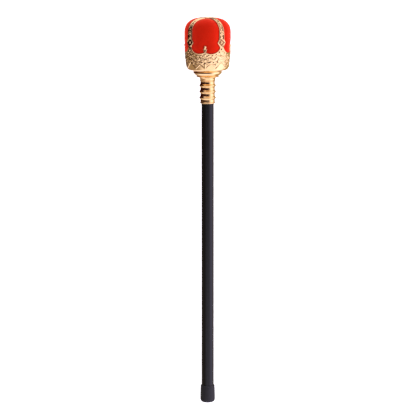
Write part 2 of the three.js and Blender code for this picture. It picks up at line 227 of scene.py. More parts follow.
# How dark the painted shade on the ground between the carving gets.
GROUND_PAINTED_SHADE = 0.85
LOZENGE_INSET, LOZENGE_RISE, LOZENGE_DEPTH = 0.9, 5.6, 0.35
LOZENGE_LINE, LOZENGE_LINE_HALF, LOZENGE_LINE_LIFT = -0.02, 0.12, 0.6
EDGE_BEAD_FOOT, EDGE_BEAD_PITCH, EDGE_BEAD_INSET = 512.0, 2.2, 1.75
EDGE_BEAD_RADIUS, EDGE_BEAD_LIFT = 0.5, 0.35
STEM_LINE_HALF, STEM_LINE_LIFT, STEM_REACH = 1.4, 0.7, 2.7
PEARL_EDGE, PEARL_LIFT, PEARL_SINK = 1.02, 1.9, 0.2
HUB_RING_RADIUS, HUB_RING_HALF, HUB_RING_LIFT = 4.6, 0.6, 0.7
HUB_BOSS_RADIUS, HUB_BOSS_LIFT = 3.0, 0.9

Boss = namedtuple("Boss", "across height half tall lift")
Scroll = namedtuple("Scroll", "across height radius hand start")


def round_boss(height, half, lift, across=0.0):
    return Boss(across, height, half, half, lift)


# Measured across from the middle of a window
ROSETTE = round_boss(474.6, 1.9, 1.0)
HUSK = Boss(0.0, height=467.4, half=1.15, tall=4.4, lift=0.8)
BUD = Boss(0.0, height=481.6, half=1.0, tall=2.0, lift=0.75)
BUD_BERRY = round_boss(479.2, 0.95, 0.6, across=2.9)
ROSETTE_BERRY = round_boss(471.6, 0.9, 0.55, across=3.2)
LOBE_BERRY = round_boss(471.4, 1.1, 0.7, across=7.3)
SCROLL_BERRY = round_boss(473.6, 0.85, 0.5, across=10.2)
LOBE_PEARL = round_boss(475.3, 1.2, 0.75, across=13.6)
OUTER_BERRY = round_boss(473.4, 0.9, 0.55, across=17.2)
WINDOW_BOSSES = (ROSETTE, HUSK, BUD, BUD_BERRY, ROSETTE_BERRY, LOBE_BERRY, SCROLL_BERRY, LOBE_PEARL,
                 OUTER_BERRY)

# Measured across from the middle of an arch
ARCH_HUSK = Boss(0.0, height=473.2, half=0.95, tall=1.5, lift=0.7)
HUSK_BERRY = round_boss(475.6, 0.9, 0.6, across=2.6)
BAND_STONE = round_boss(479.6, 1.5, 1.1)
STONE_BERRY = round_boss(480.6, 1.15, 0.8, across=5.0)
WAIST_BERRY = Boss(2.9, height=485.0, half=1.5, tall=1.7, lift=1.0)
WAIST_LEAF = Boss(0.0, height=488.2, half=1.45, tall=2.5, lift=1.2)
DIAMOND_STONE = round_boss(DIAMOND_HEIGHT, 1.7, 1.2)
DIAMOND_PEARL = round_boss(DIAMOND_HEIGHT, 0.7, 0.45, across=3.9)
CABOCHON = Boss(0.0, height=504.6, half=2.2, tall=1.9, lift=1.2)
ARCH_STONE = round_boss(510.4, 1.75, 1.25)
UPPER_STONE = Boss(0.0, height=515.4, half=1.35, tall=1.2, lift=0.8)
DROP = Boss(0.0, height=520.8, half=1.2, tall=2.4, lift=0.75)
DROP_PEARL = round_boss(526.2, 1.0, 0.6)
LAST_PEARL = round_boss(530.0, 0.85, 0.5)
ARCH_BOSSES = (ARCH_HUSK, HUSK_BERRY, BAND_STONE, STONE_BERRY, WAIST_BERRY, WAIST_LEAF, DIAMOND_STONE,
               DIAMOND_PEARL, CABOCHON, ARCH_STONE, UPPER_STONE, DROP, DROP_PEARL, LAST_PEARL)
STONE_RINGS = ((BAND_STONE, 2.7), (ARCH_STONE, 2.75))  # a wire round a stone, and its radius

# The trefoil of pierced dots above each valley of the zigzag, measured across from the valley
TREFOIL_HEIGHT, TREFOIL_SPREAD, TREFOIL_FOOT = 471.7, 2.8, 468.4
TREFOIL = ((-TREFOIL_SPREAD, TREFOIL_HEIGHT), (TREFOIL_SPREAD, TREFOIL_HEIGHT), (0.0, TREFOIL_FOOT))

# Scrolls of wire, measured across from the middle of a window. start is in degrees.
ROSETTE_SCROLL = Scroll(4.0, height=475.6, radius=2.3, hand=1, start=200)
LOBE_SCROLL = Scroll(9.4, height=477.0, radius=2.5, hand=-1, start=330)
OUTER_SCROLL = Scroll(16.6, height=477.6, radius=2.4, hand=1, start=190)
ARCH_SCROLL = Scroll(20.0, height=474.4, radius=2.0, hand=-1, start=20)
LOWER_SCROLL = Scroll(5.0, height=470.2, radius=1.6, hand=-1, start=60)
VALLEY_SCROLL = Scroll(17.9, height=470.0, radius=1.7, hand=1, start=120)
SCROLLS = (ROSETTE_SCROLL, LOBE_SCROLL, OUTER_SCROLL, ARCH_SCROLL, LOWER_SCROLL, VALLEY_SCROLL)


def to_scroll(x, way, scroll):
    """Distance to a spiral that winds into its middle."""
    best = np.full(x.shape, np.inf)
    for t in np.linspace(0, 1, SCROLL_STEPS):
        turn = math.radians(scroll.start) + scroll.hand * t * SCROLL_TURNS * 2 * math.pi
        reach = scroll.radius * (1 - SCROLL_CLOSE * t)
        across, height = scroll.across + reach * math.cos(turn), scroll.height + reach * math.sin(turn)
        best = np.minimum(best, np.hypot(x - across, way - height))
    return best


def zigzag(off, way):
    """Distance above the band's zigzag lower edge, measured square to it."""
    valley = 2 * SMALL_HALF
    small = SMALL_PEAK - (SMALL_PEAK - ZIGZAG_FOOT) * np.abs(off - SMALL_HALF) / SMALL_HALF
    large_half = HALF_BAY - valley
    large = LARGE_PEAK - (LARGE_PEAK - ZIGZAG_FOOT) * np.abs(off - HALF_BAY) / large_half
    line = np.where(off < valley, small, large)
    return (way - line) * ZIGZAG_SQUARE


def lobe_leaves(x, way):
    """Long pearls in a row below each lobe of a window."""
    lift = np.zeros(x.shape)
    for k in range(LEAF_COUNT):
        turn = math.radians(LEAF_FIRST + k * LEAF_STEP)
        dx = x - (LOBE_MIDDLE + (LOBE_REACH + LEAF_OFF) * math.cos(turn))
        dy = way - (LOBE_HEIGHT + (LOBE_DROP + LEAF_OFF) * math.sin(turn))
        leaf_turn = turn + math.pi / 2
        length = (dx * math.cos(leaf_turn) + dy * math.sin(leaf_turn)) / LEAF_LENGTH
        width = (dy * math.cos(leaf_turn) - dx * math.sin(leaf_turn)) / LEAF_WIDTH
        lift = np.maximum(lift, LEAF_LIFT * dome(np.hypot(length, width)))
    return lift


def grains(x, way):
    """Coarse granulation in staggered rows, the ground of the filigree."""
    row = np.round(way / (GRAIN_PITCH * GRAIN_ROW))
    shifted = x + np.where(row % 2 == 0, 0, GRAIN_PITCH / 2)
    dx = shifted - np.round(shifted / GRAIN_PITCH) * GRAIN_PITCH
    dy = way - row * GRAIN_PITCH * GRAIN_ROW
    return GRAIN_LIFT * dome(np.hypot(dx, dy) / GRAIN_RADIUS) - GRAIN_SINK


def stand(lift, hump, height, base=0.0):
    """The lift with a hump on its base, wherever that is higher."""
    return np.maximum(lift, np.where(hump > 0, base + height * hump, 0))


def ground_under(boss):
    return BAND_LIFT if boss.height < WAIST_HEIGHT else 0.0


def filigree(x, way, above, inside):
    """The band: grains with scrolls of wire and rows of leaves over them."""
    on_band = smooth(-0.15, 0.25, above) * smooth(WAIST_HEIGHT + 0.3, WAIST_HEIGHT - 0.5, way)
    fine = smooth(1.4, 1.9, above) * smooth(2.0, 2.6, inside) * (way < BAND_TOP + 3)
    lift = BAND_LIFT * on_band + grains(x, way) * fine
    nearest = np.minimum.reduce([to_scroll(x, way, scroll) for scroll in SCROLLS])
    wire = dome(nearest / WIRE_HALF) * smooth(0.9, 1.3, above)
    lift = np.maximum(lift, on_band * (BAND_LIFT + WIRE_LIFT) * wire)
    return np.maximum(lift, on_band * (BAND_LIFT + lobe_leaves(x, way)))


def add_bosses(lift, x, to_arch, way):
    for bosses, across in ((WINDOW_BOSSES, x), (ARCH_BOSSES, to_arch)):
        for boss in bosses:
            hump = dome(np.hypot((across - boss.across) / boss.half, (way - boss.height) / boss.tall))
            lift = stand(lift, hump, boss.lift, ground_under(boss))
    for stone, ring_radius in STONE_RINGS:
        wire = dome((np.hypot(to_arch, way - stone.height) - ring_radius) / RING_HALF)
        lift = stand(lift, wire, RING_LIFT, ground_under(stone))
    return lift


def add_dots(lift, from_valley, way):
    for across, height in TREFOIL:
        hole = np.hypot(from_valley - across, way - height)
        lift = lift + DOT_RIM_LIFT * dome((hole - DOT_RIM_RADIUS) / DOT_RIM_HALF)
        lift = lift - DOT_DEPTH * dome(hole / DOT_RADIUS)
    return lift


def add_zigzag(lift, above, way):
    """A ridge along the zigzag with a groove below it."""
    ridge = dome((above - RIDGE_MIDDLE) / RIDGE_HALF)
    groove = dome((above - GROOVE_MIDDLE) / GROOVE_HALF)
    clear = smooth(BAND_FOOT, BAND_FOOT + 0.8, way)
    return np.maximum(lift, (BAND_LIFT + RIDGE_LIFT) * ridge * clear) - GROOVE_DEPTH * groove * clear


def add_diamond(lift, to_arch, way):
    """A sunk lozenge with a raised line round it and the stone left standing."""
    rise = np.abs(way - DIAMOND_HEIGHT)
    lozenge = 1 - to_arch / (DIAMOND_HALF - LOZENGE_INSET) - rise / LOZENGE_RISE
    beside_stone = np.hypot(to_arch, way - DIAMOND_HEIGHT) > DIAMOND_STONE.half
    lift = lift - LOZENGE_DEPTH * smooth(0.0, 0.15, lozenge) * beside_stone
    return np.maximum(lift, LOZENGE_LINE_LIFT * dome((lozenge - LOZENGE_LINE) / LOZENGE_LINE_HALF))


def add_edge_beads(lift, inside, way):
    """Small beads along both edges of the arches, from above the shoulder up to the hub."""
    on_arch = (way > EDGE_BEAD_FOOT) & (way < HEAD_TOP - HUB_RADIUS)
    half_pitch = EDGE_BEAD_PITCH / 2
    along_row = np.abs((way - SHOULDER + half_pitch) % EDGE_BEAD_PITCH - half_pitch)
    bead = dome(np.hypot(along_row, inside - EDGE_BEAD_INSET) / EDGE_BEAD_RADIUS)
    return np.maximum(lift, EDGE_BEAD_LIFT * (bead * on_arch))


def add_finial(lift, x, way):
    """The pearl and the line up the middle of its stem."""
    on_stem = smooth(STEM_FOOT[0], STEM_FAN[0], way) * (way < STEM_NECK[0]) * (x < STEM_REACH)
    lift = np.maximum(lift, on_stem * STEM_LINE_LIFT * dome(x / STEM_LINE_HALF))
    pearl = np.hypot(x, way - PEARL_HEIGHT) / PEARL_RADIUS
    return np.where(pearl < PEARL_EDGE, PEARL_LIFT * dome(pearl / PEARL_EDGE) - PEARL_SINK, lift)


def crown_lift(angle, way):
    """Height of the crown's carving above its smooth ground, in mm."""
    off = bay(angle)
    radius = head_point(way)[0]
    x = off * radius
    to_arch = (HALF_BAY - off) * radius
    inside = -in_window(angle, way)
    above = zigzag(off, way)
    lift = filigree(x, way, above, inside)
    lift = add_bosses(lift, x, to_arch, way)
    lift = add_dots(lift, x - 2 * SMALL_HALF * radius, way)
    lift = add_zigzag(lift, above, way)
    lift = add_diamond(lift, to_arch, way)
    lift = add_edge_beads(lift, inside, way)
    lift = np.maximum(lift, RIM_LIFT * dome((inside - RIM_HALF) / RIM_HALF))
    lift = add_finial(lift, x, way)
    from_top = HEAD_TOP - way
    lift = np.maximum(lift, HUB_RING_LIFT * dome((from_top - HUB_RING_RADIUS) / HUB_RING_HALF))
    return np.maximum(lift, HUB_BOSS_LIFT * dome(from_top / HUB_BOSS_RADIUS))


def ground_shade_share(angle, way, lift):
    """Share of painted shade that darkens the ground between the carving of the band and the arches."""
    above = zigzag(bay(angle), way)
    band = smooth(0.3, 0.9, above) * smooth(BAND_LIFT + 0.1, BAND_LIFT - 0.25, lift)
    arch = smooth(0.25, 0.0, lift) * (way > DIAMOND_HEIGHT - DIAMOND_RISE)
    arch = arch * smooth(HEAD_TOP - 12, SHOULDER + 4, way)
    return GROUND_PAINTED_SHADE * np.where(way < WAIST_HEIGHT, band, arch)


# ------------------------------------------------------------------ meshes
def compact(points, faces):
    """Leaves out the points that no face uses."""
    used = np.unique(np.concatenate([np.ravel(f) for f in faces]))
    place = np.full(len(points), -1)
    place[used] = np.arange(len(used))
    return points[used], [place[f].tolist() for f in faces], place


def add_piece(name, points, faces, node, material, sharp):
    """A named mesh piece that stands for a CAD node. Its edges over sharp degrees stay crisp."""
    mesh = bpy.data.meshes.new(name)
    mesh.from_pydata(points.tolist(), [], faces)
    mesh.validate()
    mesh.shade_smooth()
    mesh.set_sharp_from_angle(angle=math.radians(sharp))
    mesh.materials.append(material)
    piece = bpy.data.objects.new(name, mesh)
    bpy.context.scene.collection.objects.link(piece)
    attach(piece, "root")
    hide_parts(node)
    return piece


def held(profile, margin=0.15):
    """The profile with points close to both ends of its long straights, so that they shade flat."""
    points = [profile[0]]
    for start, end in zip(profile, profile[1:]):
        length = math.dist(start, end)
        shares = [margin / length, 1 - margin / length] if length > 5 * margin else []
        points += [tuple(a + (b - a) * share for a, b in zip(start, end)) for share in shares]
        points.append(end)
    return points


def lathe(profile, columns):
    """Points and faces of a closed body turned from (radius, height), both ends on the axis."""
    profile = held(profile)
    angles = np.arange(columns) * 2 * math.pi / columns
    rings = profile[1:-1]
    points = [in_row(0.0, 0.0, profile[0][1])]
    points += [in_row(angles, radius, height) for radius, height in rings]
    points.append(in_row(0.0, 0.0, profile[-1][1]))
    nxt = (np.arange(columns) + 1) % columns
    here = np.arange(columns)
    faces = [[0, 1 + b, 1 + a] for a, b in zip(here, nxt)]
    for row in range(len(rings) - 1):
        low, high = 1 + row * columns, 1 + (row + 1) * columns
        faces += np.stack([low + here, low + nxt, high + nxt, high + here], 1).tolist()
    last = 1 + (len(rings) - 1) * columns
    faces += [[last + a, last + b, last + columns] for a, b in zip(here, nxt)]
    return np.concatenate(points), faces


def cut_grid(columns, ways, mask):
    """A grid round the head, cut along the line where mask(angle, way) is zero.

    Returns the angle and way of every point, the faces where the mask is above and below zero,
    and the cut's segments, each in the order that its upper face has it."""
    step = 2 * math.pi / columns
    angle, way = np.meshgrid(np.arange(columns) * step, ways)
    value = mask(angle, way)
    nearest = 0.05
    value = np.where(np.abs(value) < nearest, np.where(value > 0, nearest, -nearest), value)
    above = value > 0
    angles, heights = [angle.ravel()], [way.ravel()]
    count = angle.size

    def crossings(v0, v1, a0, w0, da, dw):
        nonlocal count
        ids = np.full(v0.shape, -1)
        hit = (v0 > 0) != (v1 > 0)
        ids[hit] = count + np.arange(hit.sum())
        count += int(hit.sum())
        share = v0[hit] / (v0[hit] - v1[hit])
        angles.append(a0[hit] + share * da)
        heights.append(w0[hit] + share * dw[hit])
        return ids

    beside = np.roll(value, -1, 1)
    across = crossings(value, beside, angle, way, step, np.zeros(value.shape))
    rise = way[1:] - way[:-1]
    upward = crossings(value[:-1], value[1:], angle[:-1], way[:-1], 0.0, rise)

    ids = np.arange(angle.size).reshape(angle.shape)
    right = np.roll(ids, -1, 1)
    corners = np.stack([ids[:-1], right[:-1], right[1:], ids[1:]], -1)
    sides = np.stack([across[:-1], np.roll(upward, -1, 1), across[1:], upward], -1)
    state = np.stack([above[:-1], np.roll(above, -1, 1)[:-1], np.roll(above, -1, 1)[1:], above[1:]], -1)
    total = state.sum(-1)
    upper, lower = corners[total == 4].tolist(), corners[total == 0].tolist()
    cuts = []
    mixed = (total > 0) & (total < 4)
    for ring, side, full in zip(corners[mixed], sides[mixed], state[mixed]):
        for wanted, faces in ((True, upper), (False, lower)):
            face = []
            for k in range(4):
                if full[k] == wanted:
                    face.append(int(ring[k]))
                if side[k] >= 0:
                    face.append(int(side[k]))
            faces.append(face)
        for k in range(4):
            if full[k] and side[k] >= 0:
                later = next(side[(k + n) % 4] for n in range(1, 4) if side[(k + n) % 4] >= 0)
                cuts.append((int(side[k]), int(later)))
    return np.concatenate(angles), np.concatenate(heights), upper, lower, cuts


def fan(ring, centre, outward):
    """Triangles from a closed ring of points to one point."""
    pairs = zip(ring, ring[1:] + ring[:1])
    return [[a, b, centre] if outward else [b, a, centre] for a, b in pairs]


def ring_faces(low, high):
    """Quads between two closed rings of points."""
    pairs = range(len(low))
    return [[low[k], low[(k + 1) % len(low)], high[(k + 1) % len(low)], high[k]] for k in pairs]


def even_ways(start, end, step):
    """Even steps from start to end, each close to step."""
    return np.linspace(start, end, int(round((end - start) / step)) + 1)


def crown_underside():
    """Radius and height of the foot disc and the bowl's underside, from the axis outwards."""
    edge, disc_round, neck_depth, overhang = 0.35, 0.7, 1.8, 1.2
    profile = [(4.0, DISC_FOOT), (10.0, DISC_FOOT), (DISC_LOWER_RADIUS - edge, DISC_FOOT)]
    profile += [(DISC_LOWER_RADIUS, DISC_FOOT + edge), (DISC_RADIUS - 0.25, DISC_WIDEST - 0.35)]
    profile += [(DISC_RADIUS, DISC_WIDEST), (DISC_RADIUS, DISC_TOP - 0.75)]
    profile += arc((DISC_RADIUS - disc_round, DISC_TOP - disc_round), disc_round, 0, 90, 4)
    profile += [(DISC_RADIUS - 1.6, DISC_TOP + 0.1), (DISC_RADIUS - neck_depth, BOWL_FOOT - 0.3)]
    profile += [(DISC_RADIUS - overhang, BOWL_FOOT), (BOWL_CORNER_RADIUS - overhang, BOWL_FOOT)]
    turns = np.linspace(0, math.pi / 2, 9)[:-1]
    width, rise = BAND_RADIUS - BOWL_CORNER_RADIUS, BAND_FOOT - BOWL_FOOT
    profile += [(BOWL_CORNER_RADIUS + width * math.sin(t), BOWL_FOOT + rise * (1 - math.cos(t)))
                for t in turns]
    return profile


def crown_mesh():
    """One closed shell: carved outside, windows cut through, smooth inside, solid foot."""
    step = 2 * math.pi * HEAD_RADIUS / CROWN_COLUMNS
    lower = even_ways(BAND_FOOT, CAVITY_FLOOR, step)
    ways = np.concatenate([lower, even_ways(CAVITY_FLOOR, HEAD_TOP - 0.4, step)[1:]])
    angle, way, shell, _, cuts = cut_grid(CROWN_COLUMNS, ways, lambda a, w: -in_window(a, w))
    lift = crown_lift(angle, way)
    outside = in_row(angle + HEAD_TURN, *head_point(way, lift))
    inside = in_row(angle + HEAD_TURN, *head_point(way, np.full(way.shape, -WALL)))
    count = len(angle)
    first = (len(lower) - 1) * CROWN_COLUMNS  # first point of the row at the cavity's floor
    faces = list(shell)
    over_cavity = [f for f in shell if min(f) >= first]
    faces += [[count + k for k in reversed(f)] for f in over_cavity]
    faces += [[b, a, count + a, count + b] for a, b in cuts]
    grid = np.arange(CROWN_COLUMNS)
    last = (len(ways) - 1) * CROWN_COLUMNS
    extra = [in_row(0.0, 0.0, head_point(np.array(HEAD_TOP), HUB_BOSS_LIFT)[1])]
    faces += fan((grid + last).tolist(), 2 * count, True)
    extra.append(in_row(0.0, 0.0, SHOULDER + DOME_HEIGHT - WALL))
    faces += fan((grid + last + count).tolist(), 2 * count + 1, False)
    extra.append(in_row(0.0, 0.0, CAVITY_FLOOR))
    faces += fan((grid + first + count).tolist(), 2 * count + 2, True)
    place = 2 * count + 3
    extra.append(in_row(0.0, 0.0, DISC_FOOT))
    profile = held(crown_underside())
    columns = grid * 2 * math.pi / CROWN_COLUMNS + HEAD_TURN
    rings = [(place + 1 + row * CROWN_COLUMNS + grid).tolist() for row in range(len(profile))]
    extra += [in_row(columns, radius, height) for radius, height in profile]
    faces += fan(rings[0], place, False)
    for low, high in zip(rings, rings[1:] + [grid.tolist()]):
        faces += ring_faces(low, high)
    points = np.concatenate([outside, inside, *extra])
    points, faces, place_of = compact(points, faces)
    # Painted shade of the ground between the carving, one share for each point.
    shade = np.zeros(len(points))
    seen = place_of[:count] >= 0
    shade[place_of[:count][seen]] = ground_shade_share(angle, way, lift)[seen]
    return points, faces, shade


def puff_lift(angle, way):
    """The lining's height in a window: low along the edge, full in the middle."""
    inside = in_window(angle, way)
    swell = smooth(-1.5, PUFF_REACH, inside) ** PUFF_FULLNESS
    return -PUFF_SINK + (PUFF_LIFT + PUFF_SINK) * swell


def cap_mesh():
    """One closed body: puffed in the windows, and behind the gold a core that clears it."""
    step = 2 * math.pi * HEAD_RADIUS / CAP_COLUMNS
    ways = even_ways(CAVITY_FLOOR + GAP, HEAD_TOP - 0.6, step)
    angle, way, puffs, core, cuts = cut_grid(CAP_COLUMNS, ways, lambda a, w: in_window(a, w) - GAP)
    high = in_row(angle + HEAD_TURN, *head_point(way, puff_lift(angle, way)))
    low = in_row(angle + HEAD_TURN, *head_point(way, np.full(way.shape, -WALL - GAP)))
    count = len(angle)
    faces = list(puffs) + [[count + k for k in f] for f in core]
    faces += [[b, a, count + a, count + b] for a, b in cuts]
    grid = np.arange(CAP_COLUMNS)
    last = (len(ways) - 1) * CAP_COLUMNS
    faces += fan((grid + last + count).tolist(), 2 * count, True)
    faces += fan((grid + count).tolist(), 2 * count + 1, False)
    ends = [in_row(0.0, 0.0, SHOULDER + DOME_HEIGHT - WALL - GAP), in_row(0.0, 0.0, CAVITY_FLOOR + GAP)]
    points, faces, _ = compact(np.concatenate([high, low, *ends]), faces)
    return points, faces


def rib(middle):
    """A soft round rib that rises from the coves, as radius and height."""
    rise, pointedness = RIB_RADIUS - COVE_RADIUS, 1.6
    return [(COVE_RADIUS + rise * math.cos(t * math.pi / 2) ** pointedness, middle + RIB_HALF * t)
            for t in np.linspace(-1, 1, 15)]


def collar_profile():
    """Socket, end lip, bead, three ribs between flat coves, neck and flange."""
    lip, flare, mouth_chamfer = 1.15, 4.6, 0.3
    profile = [(0.0, SHAFT_HEAD + GAP), (SOCKET_RADIUS, SHAFT_HEAD + GAP)]
    profile += [(SOCKET_RADIUS, COLLAR_FOOT + mouth_chamfer), (SOCKET_RADIUS + mouth_chamfer, COLLAR_FOOT)]
    profile += arc((COLLAR_RADIUS - lip, COLLAR_FOOT + lip), lip, -70, 75, 8)
    profile += [(COVE_RADIUS, COLLAR_FOOT + height) for height in FIRST_COVE]
    for k in range(RIB_COUNT):
        profile += rib(RIB_FIRST + k * RIB_PITCH)
    profile += [(COVE_RADIUS, NECK_HEIGHT - 3.0)]
    bead_middle = COLLAR_RADIUS - NECK_BEAD_INSET, NECK_HEIGHT - NECK_BEAD_DROP
    profile += arc(bead_middle, NECK_BEAD_HALF, -70, 70, 5)
    profile += [(COLLAR_RADIUS - 0.3, NECK_HEIGHT - 1.2), (COLLAR_RADIUS - 0.1, NECK_HEIGHT - 0.6)]
    profile += arc((COLLAR_RADIUS + flare, NECK_HEIGHT - 0.5), flare, 180, 108, 8)
    profile += [(FLANGE_RADIUS - 0.35, FLANGE_WIDEST - 0.5), (FLANGE_RADIUS, FLANGE_WIDEST)]
    profile += [(FLANGE_RADIUS - 0.1, FLANGE_WIDEST + 0.4), (FLANGE_RADIUS - 1.0, FLANGE_TOP - 0.3)]
    profile += [(FLANGE_RADIUS - 1.4, FLANGE_TOP), (0.0, FLANGE_TOP)]
    return profile


def shaft_profile():
    """A plain tube with a small chamfer at each end, in short lengths."""
    edge = 0.4
    profile = [(0.0, SHAFT_FOOT), (SHAFT_RADIUS - edge, SHAFT_FOOT), (SHAFT_RADIUS, SHAFT_FOOT + edge)]
    profile += [(SHAFT_RADIUS, h) for h in even_ways(SHAFT_FOOT + 8, SHAFT_HEAD - 8, 12)]
    profile += [(SHAFT_RADIUS, SHAFT_HEAD - edge), (SHAFT_RADIUS - edge, SHAFT_HEAD), (0.0, SHAFT_HEAD)]
    return profile


def ferrule_profile():
    """A rubber cup with a rounded foot, a crease below its mouth and a soft lip."""
    sole = FERRULE_RADIUS - FERRULE_CORNER
    profile = [(0.0, 0.0), (sole - 0.6, 0.0)]
    profile += arc((sole, FERRULE_CORNER), FERRULE_CORNER, -90, 0, 12)
    profile += [(FERRULE_RADIUS - draw, height) for height, draw in FERRULE_TAPER]
    profile += [(FERRULE_MOUTH_RADIUS + 0.04, FERRULE_CREASE - 0.9)]
    profile += arc((FERRULE_MOUTH_RADIUS + 0.35, FERRULE_CREASE), 0.65, 235, 125, 5)
    lip = FERRULE_LIP_ROUND
    profile += arc((FERRULE_MOUTH_RADIUS - lip, FERRULE_HEIGHT - lip), lip, 0, 100, 6)
    profile += [(SOCKET_RADIUS + 0.05, FERRULE_HEIGHT - 0.25), (SOCKET_RADIUS, FERRULE_HEIGHT - 0.6)]
    profile += [(SOCKET_RADIUS, SHAFT_FOOT - GAP), (0.0, SHAFT_FOOT - GAP)]
    return profile


# ------------------------------------------------------------------ materials
def new_material(name):
    material = bpy.data.materials.new(name)
    material.use_nodes = True
    return material, material.node_tree, material.node_tree.nodes["Principled BSDF"]


def link(tree, start, end):
    tree.links.new(start, end)


def noise(tree, scale, detail=3.0, stretch=None):
    """A noise over the piece in its own coordinates, and its factor's socket."""
    place = tree.nodes.new("ShaderNodeTexCoord")
    node = tree.nodes.new("ShaderNodeTexNoise")
    node.inputs["Scale"].default_value = scale
    node.inputs["Detail"].default_value = detail
    source = place.outputs["Object"]
    if stretch:
        mapping = tree.nodes.new("ShaderNodeMapping")
        mapping.inputs["Scale"].default_value = stretch
        link(tree, source, mapping.inputs["Vector"])
        source = mapping.outputs["Vector"]
    link(tree, source, node.inputs["Vector"])
    return node.outputs["Fac"]


def spread(tree, factor, low, high, start=0.3, end=0.7):
    """The factor's middle range stretched to run from low to high."""
    node = tree.nodes.new("ShaderNodeMapRange")
    for name, value in (("From Min", start), ("From Max", end), ("To Min", low), ("To Max", high)):
        node.inputs[name].default_value = value
    link(tree, factor, node.inputs["Value"])
    return node.outputs["Result"]


def blend_colours(tree, factor, first, second):
    """From the first colour where the factor is 0 to the second where it is 1."""
    node = tree.nodes.new("ShaderNodeMix")
    node.data_type = "RGBA"
    link(tree, factor, node.inputs["Factor"])
    for socket, colour in ((node.inputs[6], first), (node.inputs[7], second)):
        if isinstance(colour, tuple):
            socket.default_value = (*colour, 1.0)
        else:
            link(tree, colour, socket)
    return node.outputs[2]


def bump(tree, shader, factor, strength, depth):
    """Fine unevenness of a surface. depth is in mm."""
    node = tree.nodes.new("ShaderNodeBump")
    node.inputs["Strength"].default_value = strength
    node.inputs["Distance"].default_value = depth * MM
    link(tree, factor, node.inputs["Height"])
    link(tree, node.outputs["Normal"], shader.inputs["Normal"])


def gold(name, bright, painted_shade_colour):
    """Metallised plastic: mirror gold, a little uneven, with painted shade that turns it dark brown in the
    hollows of its relief.
    """
    material, tree, shader = new_material(name)
    shader.inputs["Metallic"].default_value = 1.0
    cloud = noise(tree, scale=140.0, detail=4.0)
    body = blend_colours(tree, spread(tree, cloud, 0.0, 1.0), bright, tuple(c * 0.93 for c in bright))
    # Painted shade: where the surface curves inwards (low pointiness) the gold is painted towards the dark
    # shade colour.
    shape = tree.nodes.new("ShaderNodeNewGeometry")
    crevice_shade = spread(tree, shape.outputs["Pointiness"], 1.0, 0.0, start=0.36, end=0.48)
    body = blend_colours(tree, crevice_shade, body, painted_shade_colour)
    # More painted shade, read from the crown's points: the ground between its carving darkened.
    ground = tree.nodes.new("ShaderNodeAttribute")
    ground.attribute_name = "ground_shade"
    link(tree, blend_colours(tree, ground.outputs["Fac"], body, painted_shade_colour), shader.inputs["Base Color"])
    grain = noise(tree, scale=900.0, detail=2.0)
    link(tree, spread(tree, grain, 0.05, 0.12), shader.inputs["Roughness"])
    bump(tree, shader, noise(tree, scale=520.0, detail=2.0), strength=0.12, depth=0.03)
    return material


def flock():
    """Short red fibres on the lining: matt, with a pale bloom where it turns away."""
    material, tree, shader = new_material("red_flock")
    cloud = noise(tree, scale=60.0)
    fibres = noise(tree, scale=2600.0, detail=4.0)
    full, worn, fibre_tips = (0.72, 0.014, 0.0004), (0.66, 0.011, 0.0003), (0.78, 0.018, 0.0006)
    base = blend_colours(tree, spread(tree, cloud, 0.0, 1.0), full, worn)
    link(tree, blend_colours(tree, spread(tree, fibres, 0.0, 1.0), base, fibre_tips),
         shader.inputs["Base Color"])
    shader.inputs["Roughness"].default_value = 0.95
    shader.inputs["Specular IOR Level"].default_value = 0.15
    shader.inputs["Sheen Weight"].default_value = 0.8
    shader.inputs["Sheen Roughness"].default_value = 0.32
    shader.inputs["Sheen Tint"].default_value = (1.0, 0.26, 0.10, 1.0)
    bump(tree, shader, fibres, strength=0.45, depth=0.12)
    return material


def black_plastic():
    """The shaft's satin black tube, with faint drawing lines along it."""
    material, tree, shader = new_material("black_shaft")
    cloud = noise(tree, scale=45.0)
    link(tree, blend_colours(tree, cloud, (0.0026, 0.0026, 0.0030), (0.0040, 0.0039, 0.0044)),
         shader.inputs["Base Color"])
    lines = noise(tree, scale=700.0, detail=2.0, stretch=(1.0, 0.012, 1.0))
    link(tree, spread(tree, lines, 0.18, 0.26), shader.inputs["Roughness"])
    shader.inputs["Specular IOR Level"].default_value = 0.33
    bump(tree, shader, lines, strength=0.12, depth=0.03)
    return material


def rubber():
    """The tip's moulded rubber: matt, slightly mottled and pitted."""
    material, tree, shader = new_material("black_rubber")
    patches = noise(tree, scale=330.0, detail=4.0)
    mottle = spread(tree, patches, 0.0, 1.0)
    link(tree, blend_colours(tree, mottle, (0.010, 0.010, 0.011), (0.022, 0.022, 0.023)),
         shader.inputs["Base Color"])
    link(tree, spread(tree, patches, 0.55, 0.75), shader.inputs["Roughness"])
    shader.inputs["Specular IOR Level"].default_value = 0.4
    bump(tree, shader, noise(tree, scale=1500.0), strength=0.3, depth=0.08)
    return material


def pale_floor():
    """The studio's white paper, lit evenly."""
    material, tree, shader = new_material("pale_floor")
    link(tree, blend_colours(tree, noise(tree, scale=3.0), (0.90, 0.90, 0.90), (0.94, 0.94, 0.94)),
         shader.inputs["Base Color"])
    shader.inputs["Roughness"].default_value = 0.9
    shader.inputs["Emission Color"].default_value = (1.0, 1.0, 1.0, 1.0)
    shader.inputs["Emission Strength"].default_value = 1.0
    return material


# ------------------------------------------------------------------ the pieces
# Painted shade: the dark brown that the gold is painted in the hollows of its relief.
GOLD_PAINTED_SHADE = (0.13, 0.030, 0.005)
points, faces, shade = crown_mesh()
crown = add_piece("crown_relief", points, faces, "crown",
                  gold("gold_moulding", (0.96, 0.66, 0.31), GOLD_PAINTED_SHADE), 60)
# Keeps the painted shade of the carving's ground on the crown's points, for the gold material.
crown.data.attributes.new("ground_shade", "FLOAT", "POINT").data.foreach_set("value", shade)

points, faces = cap_mesh()
add_piece("red_lining", points, faces, "red_cap", flock(), 60)

